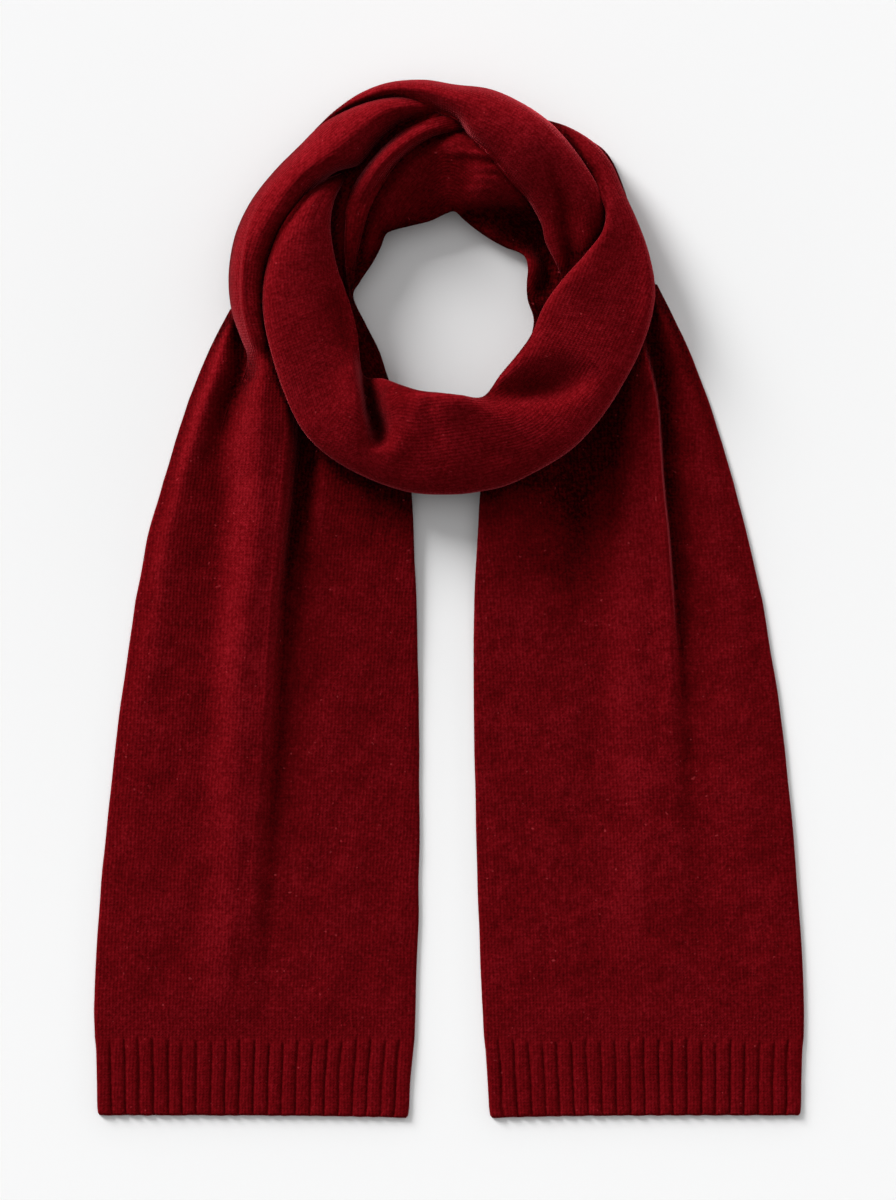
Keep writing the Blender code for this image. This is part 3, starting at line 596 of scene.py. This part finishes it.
def wind(name, sections, folds, seed, settle=None):
    """One wound stretch: a rounded shell that curls under at both edges and lies on the heap.

    Across a section, with t from 0 to pi, n the fullness of the side and c the crest's place, the
    place across is c (1 - |cos t|^(2/n)) before the crest and c + (1 - c) |cos t|^(2/n) after it,
    and the rise is rise * sin(t)^(2/n). The folds and a little unevenness are added to that.
    """
    cloth = bpy.context.scene.scarf_cloth
    thickness, spacing = cloth.thickness / MM, cloth.spacing / MM
    rows = np.array(sections, float)
    middle = (rows[:, :2] + rows[:, 2:4]) / 2
    length_along = np.linalg.norm(np.diff(middle, axis=0), axis=1).sum()
    table = smooth_rows(rows, even_places(middle, int(length_along / spacing)))
    widest = np.linalg.norm(table[:, :2] - table[:, 2:4], axis=1).max() + table[:, 6].max()
    t = np.linspace(0, np.pi, int(widest / spacing))[None]
    outer, inner = table[:, None, :2], table[:, None, 2:4]
    outer_z, inner_z, rise, crest, outer_full, inner_full, tuck = (
        table[:, k:k + 1] for k in range(4, 11))
    before = t <= np.pi / 2
    power = 2 / np.where(before, outer_full, inner_full)
    share = np.abs(np.cos(t)) ** power
    share = np.where(before, crest * (1 - share), crest + (1 - crest) * share)
    arch = np.clip(np.sin(t), 1e-9, 1) ** power
    flat_points = outer + (inner - outer) * share[..., None]
    x, y = flat_points[..., 0], flat_points[..., 1]
    width = np.linalg.norm(outer - inner, axis=2)
    inset = np.minimum(share, 1 - share) * width
    firm = 1 - np.exp(-(inset / 3) ** 2)
    z = outer_z + (inner_z - outer_z) * share + rise * arch
    z += fold_height(x, y, folds)
    # slow waves, which die out over the last 3 mm to each edge, and small quick ones
    z += unevenness(x, y, 42, seed) * 0.7 * firm + unevenness(x, y, 15, seed + 1) * 0.22
    # it keeps room for itself over the heap, less where it is low or near its edges, and where it
    # would come lower it is eased up to that
    base = heap.read(heap.soften(heap.spread(2), 1.2), x, y)
    room = thickness * (0.3 + 0.7 * np.clip(rise / 6, 0, 1)) * np.minimum(1, 0.2 + inset / 4)
    gap = z - (base + room)
    softness = 2
    lifted = softness * np.exp(np.clip(gap - softness, -30, 0) / softness)
    raised = base + room + np.where(gap > softness, gap, lifted)
    z = z + (raised - z) * np.clip(1 - tuck, 0, 1)
    if settle is not None:
        z = settle(x, y, z)
    points = curl_edges(np.dstack([x, y, z]), width, tuck)

    half = points.shape[1] // 2
    normal = surface_normals(points)
    if normal[len(normal) // 2, half, 2] < 0:
        normal = -normal
    inside = points - normal * thickness
    across = arc_lengths(points, 1)
    across = across - across[:, half, None]
    along = np.broadcast_to(arc_lengths(points[:, [half]], 0), across.shape)
    add_shell(name, points, inside, across, along, "knit")


# how many columns of the mesh lie between each two places across a tail
TAIL_COLUMNS = (16, 16, 9, 14, 9, 20, 28)


def round_off(inset):
    """A quarter circle: 0 at an edge, and 1 from ROUNDED inwards."""
    return np.sqrt(1 - (1 - np.clip(inset / ROUNDED, 0, 1)) ** 2)


def tail_height(rows, x, y):
    """Height under a tail's cloth at the points x, y.

    The rows are read along Y as a smooth curve. Across, the height eases from each place of the
    table to the next by a smooth step, so that every place is a crest or a foot.
    """
    table = read_lines(rows, y)
    height = np.zeros_like(x)
    for k in range(len(TAIL_COLUMNS)):
        start, end = table[..., 1 + k], table[..., 2 + k]
        low = 0.0 if k == 0 else table[..., 8 + k]
        high = table[..., 9 + k]
        part = (x - start) / (end - start)
        height = np.where(part >= 0, low + (high - low) * ease(part), height)
    return height


def lay_tail(name, rows, seed):
    """A tail: a wall of cloth over a grid of points whose columns follow the folds.

    Its underside is tail_height plus a little unevenness, never below the table. Its top is that plus
    the cloth's thickness, rounded off to a quarter of it at each edge.
    """
    cloth = bpy.context.scene.scarf_cloth
    thickness, spacing = cloth.thickness / MM, cloth.spacing / MM
    start, end = rows[0].y, rows[-1].y
    y = np.linspace(start, end, int((end - start) / spacing))
    table = read_lines(rows, y)
    last = len(TAIL_COLUMNS)
    columns = np.concatenate([place + np.arange(count) / count
                              for place, count in enumerate(TAIL_COLUMNS)] + [[last]])
    # the first and the last column are split once more, where the cloth rounds off
    columns = np.concatenate([[0, 0.018], columns[1:-1], [last - 0.01, last]])
    left = np.minimum(columns.astype(int), last - 1)
    part = columns - left
    x = table[:, 1 + left] * (1 - part) + table[:, 2 + left] * part
    y = np.broadcast_to(y[:, None], x.shape).copy()
    edge, inner = x[:, :1], x[:, -1:]
    inset = np.minimum(np.abs(x - edge), np.abs(x - inner))
    # the cloth lies still beside the ribbing and along its edges
    past_ribbing = ease(np.clip((y - start) / 30, 0, 1))
    under = tail_height(rows, x, y)
    waves = unevenness(x, y, 46, seed) * 0.8 + unevenness(x, y, 19, seed + 1) * 0.35 + 0.5
    under += waves * (ease(inset / 14) * past_ribbing)
    under = np.clip(under, 0, None)
    x = x + unevenness(x, y, 70, seed + 2) * 0.3 * (1 - ease(inset / 20)) * past_ribbing
    top = under + thickness * (0.25 + 0.75 * round_off(inset))
    add_shell(name, np.dstack([x, y, top]), np.dstack([x, y, under]), x - (edge + inner) / 2, y,
              "knit")


# lines of mesh points along a ribbed end, closer together at its top and at its hem: first, last, count
RIB_LINES = ((RIB_TOP, -377, 5), (-379, -434, 28), (-435.2, HEM_Y + 0.4, 6))
# mesh points across one rib
RIB_POINTS = 14


def knit_ribbing(name, rows, seed):
    """A ribbed end, whose ribs start over 5 mm, each at its own height.

    With s the share of a rib crossed and d the distance from the nearest groove's middle, its top
    stands over the cloth's thickness by face |sin(pi s)|^0.8 - sink - (rise - face) exp(-(d / w)^2),
    where w is the groove's width. Each groove wanders a little and has its own depth.
    """
    cloth = bpy.context.scene.scarf_cloth
    thickness, rise = cloth.thickness / MM, cloth.rib_rise / MM
    face, sink, groove_width = 0.9, 0.2, 1.35
    chance = np.random.default_rng(seed)
    y = np.concatenate([np.linspace(*stretch) for stretch in RIB_LINES])
    table = read_lines(rows, y)
    share = np.linspace(0, 1, cloth.ribs * RIB_POINTS + 1)[None]
    edge, inner = table[:, 1:2], table[:, 2:3]
    x = edge + (inner - edge) * share
    y = np.broadcast_to(y[:, None], x.shape).copy()
    pitch = np.abs(inner - edge) / cloth.ribs
    rib = share * cloth.ribs
    nearest = np.rint(rib).astype(int)
    between = (nearest > 0) & (nearest < cloth.ribs)
    sway = chance.uniform(-0.05, 0.05, (3, cloth.ribs + 1))
    wander = sway[0][nearest] + sway[1][nearest] * np.sin((y - RIB_TOP) / 9 + 40 * sway[2][nearest])
    distance = np.abs(rib - nearest - np.where(between, wander, 0)) * pitch
    start = RIB_TOP - chance.uniform(0, 4.5, cloth.ribs + 1)[nearest]
    strength = ease((start - y) / 5)
    deep = chance.uniform(0.8, 1.15, cloth.ribs + 1)[nearest]
    groove = np.where(between, np.exp(-(distance / groove_width) ** 2) * deep, 0)
    rounded = np.abs(np.sin(np.pi * rib)) ** 0.8
    top = thickness + strength * (face * rounded - sink - groove * (rise - face))
    top += unevenness(x, y, 12, seed) * 0.18 * strength
    inset = np.minimum(np.minimum(np.abs(x - edge), np.abs(x - inner)), y - RIB_LINES[-1][1])
    top = top * (0.3 + 0.7 * round_off(inset))
    # the hem hangs a little lower towards the scarf's inner edge
    y = y - (0.7 + 2.2 * share ** 4) * ease((-400 - y) / 38)
    y = y + unevenness(x, y * 0, 14, seed + 5) * 0.3 * ease((-430 - y) / 8)
    add_shell(name, np.dstack([x, y, top]), np.dstack([x, y, np.zeros_like(top)]),
              x - (edge + inner) / 2, y, "ribbing")


# ---- the wool
def node(tree, kind, links=(), **settings):
    """A shader node with its settings, and its inputs linked or set from (name or index, value)."""
    made = tree.nodes.new(kind)
    for key, value in settings.items():
        setattr(made, key, value)
    for socket, value in links:
        if isinstance(value, bpy.types.NodeSocket):
            tree.links.new(value, made.inputs[socket])
        else:
            made.inputs[socket].default_value = value
    return made


def maths(tree, operation, *values):
    """The result of a Math node."""
    return node(tree, "ShaderNodeMath", list(enumerate(values)), operation=operation).outputs[0]


def mixed(tree, factor, first, second):
    """The result of a colour Mix node."""
    made = node(tree, "ShaderNodeMix", [(0, factor), (6, first), (7, second)], data_type="RGBA")
    return made.outputs[2]


def ranged(tree, value, low, high, at_low, at_high):
    """A value mapped from low to high onto at_low to at_high, and held there past them."""
    links = list(enumerate((value, low, high, at_low, at_high)))
    return node(tree, "ShaderNodeMapRange", links).outputs[0]


KNIT_COLOURS = ("Wool", "Shade", "Light", "Fibre")
KNIT_VALUES = ("Wale", "Course", "Mottle", "Depth")


def brushed_knit():
    """The node group for brushed knit: its colour over the surface and the height of its stitches.

    The wales are a cosine across the cloth, and the courses a wave along it that climbs to each
    wale's middle, which draws the stitches' V. The nap is noise on top of both. The colour moves
    between the shade, wool and light colours by three sizes of noise and by the painted shading:
    painted shade in the folds and the stitches' grooves, painted highlight on open crests. A few
    single pale fibres lie on top.
    """
    tree = bpy.data.node_groups.get("Brushed knit")
    if tree is not None:
        return tree
    tree = bpy.data.node_groups.new("Brushed knit", "ShaderNodeTree")
    for names, kind in ((KNIT_COLOURS, "Color"), (KNIT_VALUES, "Float")):
        for name in names:
            tree.interface.new_socket(name, in_out="INPUT", socket_type="NodeSocket" + kind)
    tree.interface.new_socket("Color", in_out="OUTPUT", socket_type="NodeSocketColor")
    tree.interface.new_socket("Height", in_out="OUTPUT", socket_type="NodeSocketFloat")
    given = tree.nodes.new("NodeGroupInput").outputs
    result = tree.nodes.new("NodeGroupOutput").inputs
    here = node(tree, "ShaderNodeTexCoord").outputs["Object"]

    def plus(first, second):
        return maths(tree, "ADD", first, second)

    def times(first, second):
        return maths(tree, "MULTIPLY", first, second)

    def noise(scale, detail, roughness=0.5):
        return node(tree, "ShaderNodeTexNoise", [
            ("Vector", here), ("Scale", scale), ("Detail", detail), ("Roughness", roughness)]).outputs[0]

    def swing(pattern, strength):
        """A pattern from 0 to 1 as a swing about 0."""
        return times(maths(tree, "SUBTRACT", pattern, 0.5), strength)

    def wave(turns):
        return maths(tree, "COSINE", times(turns, 2 * np.pi))

    cloth = node(tree, "ShaderNodeUVMap", uv_map="cloth").outputs["UV"]
    place = node(tree, "ShaderNodeSeparateXYZ", [(0, cloth)]).outputs
    wales = plus(maths(tree, "DIVIDE", place[0], given["Wale"]), swing(noise(70.0, 1.0), 0.9))
    leaning = maths(tree, "PINGPONG", wales, 0.5)
    courses = plus(maths(tree, "DIVIDE", place[1], given["Course"]), leaning)
    stitch = plus(times(wave(wales), -0.20), times(wave(courses), 0.12))

    nap = noise(760.0, 1.0, 0.6)
    tuft = noise(340.0, 3.0, 0.65)
    cloud = noise(24.0, 2.0)
    tree.links.new(plus(plus(stitch, times(nap, 0.3)), times(tuft, 0.9)), result["Height"])

    # tufts and clouds move the colour; the stitches' grooves get a little painted shade
    tone_and_painted_shading = plus(plus(plus(swing(tuft, 1.9), swing(nap, 0.5)), swing(cloud, 0.5)), times(stitch, 0.35))
    # the painted shading: shade towards the shade colour in folds, highlight towards the light colour on
    # open crests
    hollow = node(tree, "ShaderNodeAttribute", attribute_name="hollow").outputs["Fac"]
    tone_and_painted_shading = maths(tree, "SUBTRACT", times(tone_and_painted_shading, given["Mottle"]), times(hollow, given["Depth"]))
    colour_here = mixed(tree, ranged(tree, tone_and_painted_shading, 0.0, -1.0, 0.0, 1.0), given["Wool"], given["Shade"])
    colour_here = mixed(tree, ranged(tree, tone_and_painted_shading, 0.0, 1.0, 0.0, 1.0), colour_here, given["Light"])
    pale = ranged(tree, noise(330.0, 0.0), 0.82, 0.88, 0.0, 0.5)
    tree.links.new(mixed(tree, pale, colour_here, given["Fibre"]), result["Color"])
    return tree


def set_inputs(shader, values):
    """Sets constants on a shader's own sockets."""
    for name, value in values.items():
        shader.inputs[name].default_value = value


def knit_material(slot):
    """Brushed wool for a material slot: matt, with a soft sheen from its nap."""
    made = bpy.data.materials.get(slot + " wool")
    if made is not None:
        return made
    cloth, colours = bpy.context.scene.scarf_cloth, bpy.context.scene.scarf_colours
    made = bpy.data.materials.new(slot + " wool")
    made.use_nodes = True
    tree = made.node_tree
    shader = tree.nodes["Principled BSDF"]
    knit = node(tree, "ShaderNodeGroup", node_tree=brushed_knit())
    set_inputs(knit, {name: tuple(getattr(colours, name.lower())) for name in KNIT_COLOURS})
    # Depth sets how strongly the painted shade and painted highlight move the colour
    set_inputs(knit, {"Wale": cloth.wale, "Course": cloth.course,
                      "Mottle": 0.8 if slot == "ribbing" else 1.0, "Depth": 0.8})
    tree.links.new(knit.outputs["Color"], shader.inputs["Base Color"])
    bump = node(tree, "ShaderNodeBump", [("Height", knit.outputs["Height"]), ("Strength", 0.8),
                                         ("Distance", cloth.relief)])
    tree.links.new(bump.outputs[0], shader.inputs["Normal"])
    set_inputs(shader, {"Roughness": 0.95, "Specular IOR Level": 0.0, "Sheen Weight": 0.5,
                        "Sheen Roughness": 0.3, "Sheen Tint": tuple(colours.sheen)})
    made.diffuse_color = tuple(colours.wool)
    return made


# the bell curves that soften the heap, and the depths below it that count as full painted shade: below
# the finest, below the next two together, and below the widest
SOFTENED = (2.5, 7, 22, 60)
FINE_DEPTH, DEPTH, WIDE_DEPTH = 5, 9, 20
# the widest is read this far from a point, towards the light, and paints a cast shadow on it from this
# height over it
TOWARDS_LIGHT = (-34, 36)
CLEARED = 8
# a circle round the neck opening's bare table: its middle along Y, and its radius
OPENING_Y, OPENING_REACH = 255, 110


def paint_fold_shading():
    """Paints shading onto each piece as the attribute hollow: painted shade up to 1 in a deep fold,
    painted highlight down to -0.4 on an open crest.

    It is the sum of how far a point lies below the softened heaps, as shares of their depths: the
    finest, no less than -0.06, then 0.65 of the second with 0.35 of the third, then the widest read
    towards the light, a painted cast shadow, from 0 to 0.6. That is held from -0.18 to 1, and fades
    where the cloth lies flat on the table. Bare cells in the neck opening don't count, and the ones
    outside by half. PAINTED_SHADING_LINES is added last.
    """
    y, x = np.mgrid[:heap.deep, :heap.wide]
    opening = np.hypot(x + heap.left, y + heap.low - OPENING_Y) < OPENING_REACH
    covered = np.where(heap.height > 0.5, 1.0, np.where(opening, 0.0, 0.5))
    fine, near, far, wide = (
        heap.soften(heap.height, size) / np.maximum(heap.soften(covered, size), 0.05)
        for size in SOFTENED)
    for piece in laid:
        mesh = piece.data
        points = np.empty(len(mesh.vertices) * 3)
        mesh.vertices.foreach_get("co", points)
        x, y, z = (points.reshape(-1, 3) / MM).T
        round_it = heap.read(near, x, y)
        # painted cast shadow: how far the cloth towards the light stands over the point
        painted_shadow_depth = heap.read(wide, x + TOWARDS_LIGHT[0], y + TOWARDS_LIGHT[1]) - z - CLEARED
        hollow = (0.65 * round_it + 0.35 * heap.read(far, x, y) - z) / DEPTH
        hollow += np.clip((heap.read(fine, x, y) - z) / FINE_DEPTH, -0.06, None)
        hollow += np.clip(painted_shadow_depth / WIDE_DEPTH, 0, 0.6)
        hollow = np.clip(hollow, -0.18, 1.0) * ease((round_it - 2.6) / 3)
        # then the painted shade and painted highlight from the listed lines
        hollow = np.clip(hollow + fold_height(x, y, PAINTED_SHADING_LINES.get(piece.name, [])), -0.4, 1.0)
        # the painted shading is kept on the mesh, where the wool's colour reads it
        mesh.attributes.new("hollow", "FLOAT", "POINT").data.foreach_set("value", hollow)


# ---- operators
class SCARF_OT_lay_tails(bpy.types.Operator):
    """Lay the two hanging ends on the table, with their long folds"""
    bl_idname = "scarf.lay_tails"
    bl_label = "Lay the tails"

    def execute(self, context):
        lay_tail("tail_left", TAIL_LEFT, 3)
        lay_tail("tail_right", TAIL_RIGHT, 7)
        return {"FINISHED"}


class SCARF_OT_knit_ribbing(bpy.types.Operator):
    """Knit the ribbed end of each tail"""
    bl_idname = "scarf.knit_ribbing"
    bl_label = "Knit the ribbed ends"

    def execute(self, context):
        knit_ribbing("rib_left", RIB_LEFT, 11)
        knit_ribbing("rib_right", RIB_RIGHT, 12)
        return {"FINISHED"}


class SCARF_OT_wind_neck(bpy.types.Operator):
    """Lay the lower wrap round the neck opening"""
    bl_idname = "scarf.wind_neck"
    bl_label = "Wind the neck wrap"

    def execute(self, context):
        wind("neck_wrap", NECK_WRAP, NECK_FOLDS, 21)
        return {"FINISHED"}


class SCARF_OT_fold_pleats(bpy.types.Operator):
    """Fold the inner pleat and the outer pleat, which runs down into the left tail"""
    bl_idname = "scarf.fold_pleats"
    bl_label = "Fold the pleats"

    def execute(self, context):
        wind("pleat_inner", PLEAT_INNER, [], 31)

        def run_into_tail(x, y, z):
            """Eases the pleat's lower end onto the tail's ridge, and just under it at its very end."""
            thickness = context.scene.scarf_cloth.thickness / MM
            ridge = tail_height(TAIL_LEFT, x, y) + thickness
            ridge = ridge + 1.2 - 2.8 * ease((205 - y) / 45)
            share = ease((y - 180) / 42)
            return ridge + (z - ridge) * share

        wind("pleat_outer", PLEAT_OUTER, PLEAT_OUTER_FOLDS, 41,
             run_into_tail)
        return {"FINISHED"}


class SCARF_OT_wind_crown(bpy.types.Operator):
    """Lay the stretch that crosses the top and dives under the right shoulder"""
    bl_idname = "scarf.wind_crown"
    bl_label = "Wind the crown"

    def execute(self, context):
        wind("crown", CROWN, CROWN_FOLDS, 51)
        return {"FINISHED"}


class SCARF_OT_wind_cowl(bpy.types.Operator):
    """Lay the front drape round to the left side, then paint shade into every fold and highlight onto
    open crests
    """
    bl_idname = "scarf.wind_cowl"
    bl_label = "Wind the cowl"

    def execute(self, context):
        wind("cowl", COWL, COWL_FOLDS, 61)
        paint_fold_shading()
        return {"FINISHED"}


class SCARF_OT_set_stage(bpy.types.Operator):
    """Set the pale floor, the soft light from the upper left and the camera straight above"""
    bl_idname = "scarf.set_stage"
    bl_label = "Set the stage"

    def execute(self, context):
        scene = context.scene
        colours, light = scene.scarf_colours, scene.scarf_light
        # a square of 16 m, just below the table's height so that no underside lies in it
        reach, sunk = 8, -0.0004
        corners = [(-1, -1), (1, -1), (1, 1), (-1, 1)]
        floor = bpy.data.meshes.new("floor")
        floor.from_pydata([(x * reach, y * reach, sunk) for x, y in corners], [], [(0, 1, 2, 3)])
        floor = bpy.data.objects.new("floor", floor)
        scene.collection.objects.link(floor)
        paint = bpy.data.materials.new("floor")
        paint.use_nodes = True
        set_inputs(paint.node_tree.nodes["Principled BSDF"], {
            "Base Color": tuple(colours.floor), "Roughness": 0.9, "Specular IOR Level": 0.0})
        floor.data.materials.append(paint)

        world = bpy.data.worlds.new("studio")
        world.use_nodes = True
        tree = world.node_tree
        heading = node(tree, "ShaderNodeTexCoord").outputs["Generated"]
        heading = node(tree, "ShaderNodeSeparateXYZ", [(0, heading)]).outputs
        rising = ranged(tree, heading[2], 0.35, 0.75, light.around, light.overhead)
        # a brighter band just above the table, which draws the rims
        band = ranged(tree, heading[2], 0.12, 0.3, light.band, 0.0)
        # the wall beyond the scarf's hems is darker than the one beyond its wound end
        facing = ranged(tree, heading[1], -0.8, 0.5, 0.2, 1.3)
        strength = maths(tree, "MULTIPLY", maths(tree, "ADD", rising, band), facing)
        background = tree.nodes["Background"]
        tree.links.new(strength, background.inputs["Strength"])
        background.inputs["Color"].default_value = (1.0, 1.0, 1.0, 1.0)
        scene.world = world
        lamp = bpy.data.lights.new("key", "SUN")
        lamp.energy = light.key
        # tilted from straight down, then turned so that the light comes from the upper left
        spread, tilt, turn = np.radians([22, -69.5, -47])
        lamp.angle = spread
        lamp = bpy.data.objects.new("key", lamp)
        lamp.rotation_euler = (0, tilt, turn)
        scene.collection.objects.link(lamp)

        # far above, so that its 36 mm sensor takes in 1.02 m of table with little perspective
        camera = bpy.data.cameras.new("above")
        middle, distance, taken_in = (-0.0017, -0.0013), 9.0, 1.02
        camera.lens = 36 * distance / taken_in
        camera.clip_end = 100
        camera = bpy.data.objects.new("above", camera)
        camera.location = (*middle, distance)
        scene.collection.objects.link(camera)
        scene.camera = camera
        scene.view_settings.view_transform = "Standard"
        return {"FINISHED"}


class SCARF_PT_panel(bpy.types.Panel):
    """The scarf's steps and settings"""
    bl_label = "Knit scarf"
    bl_idname = "SCARF_PT_panel"
    bl_space_type = "VIEW_3D"
    bl_region_type = "UI"
    bl_category = "Scarf"

    def draw(self, context):
        for step in STEPS:
            self.layout.operator(step.bl_idname)
        for name in GROUPS:
            group = getattr(context.scene, name)
            box = self.layout.box()
            for key in group.__annotations__:
                box.prop(group, key)


GROUPS = {"scarf_cloth": ScarfCloth, "scarf_colours": ScarfColours, "scarf_light": ScarfLight}
STEPS = [SCARF_OT_set_stage, SCARF_OT_lay_tails, SCARF_OT_knit_ribbing, SCARF_OT_wind_neck,
         SCARF_OT_fold_pleats, SCARF_OT_wind_crown, SCARF_OT_wind_cowl]
CLASSES = [*GROUPS.values(), *STEPS, SCARF_PT_panel]


def register():
    for part in CLASSES:
        bpy.utils.register_class(part)
    for name, group in GROUPS.items():
        setattr(bpy.types.Scene, name, bpy.props.PointerProperty(type=group))


def unregister():
    for name in GROUPS:
        delattr(bpy.types.Scene, name)
    for part in reversed(CLASSES):
        bpy.utils.unregister_class(part)


def main():
    register()
    bpy.ops.scarf.set_stage()
    bpy.ops.scarf.lay_tails()
    bpy.ops.scarf.knit_ribbing()
    bpy.ops.scarf.wind_neck()
    bpy.ops.scarf.fold_pleats()
    bpy.ops.scarf.wind_crown()
    bpy.ops.scarf.wind_cowl()


if __name__ == "__main__":
    main()
